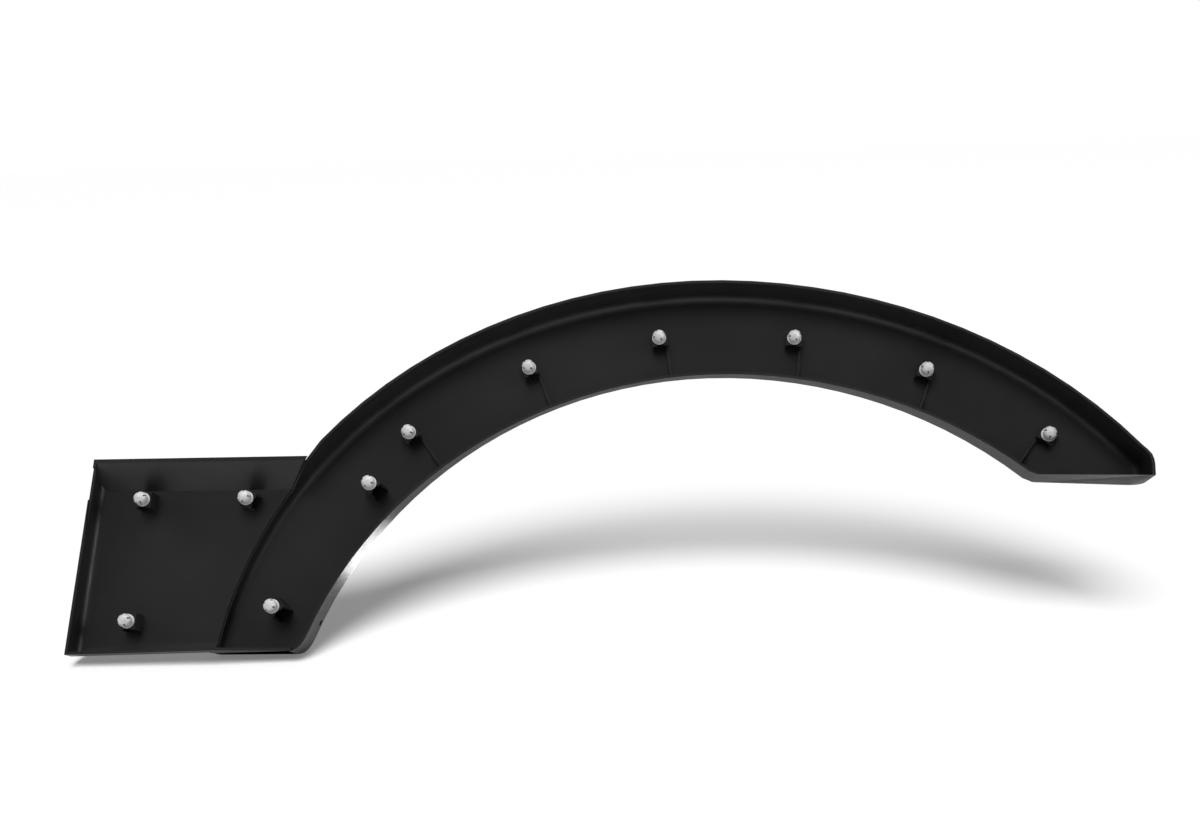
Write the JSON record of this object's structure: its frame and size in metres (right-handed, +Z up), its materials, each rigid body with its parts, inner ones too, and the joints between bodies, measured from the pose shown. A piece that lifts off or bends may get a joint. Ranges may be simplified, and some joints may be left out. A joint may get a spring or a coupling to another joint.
{
  "type": "wheel arch trim",
  "caption": "Black moulded wheel arch trim with a joined side plate, an inward lip at the wheel opening, ribbed clip towers and pale push-in clips on its inner side.",
  "frame": {"origin": "the seat of clip 8 on the front of its tower, just beside the crown of the arch, as fitted on the vehicle", "axes": "+X along the vehicle from the side plate to the tip, +Y out of the vehicle, +Z up; the clips point along -Y into the body"},
  "size_m": [0.9433, 0.0616, 0.3377],
  "materials": {
    "moulding": "fine-grained black polypropylene, slightly satin",
    "clip": "natural nylon, pale and slightly translucent"
  },
  "bodies": {
    "root": {"arch_moulding": "moulding", "clip_01": "clip", "clip_02": "clip", "clip_03": "clip", "clip_04": "clip", "clip_05": "clip", "clip_06": "clip", "clip_07": "clip", "clip_08": "clip", "clip_09": "clip", "clip_10": "clip", "clip_11": "clip"}
  },
  "joints": []
}
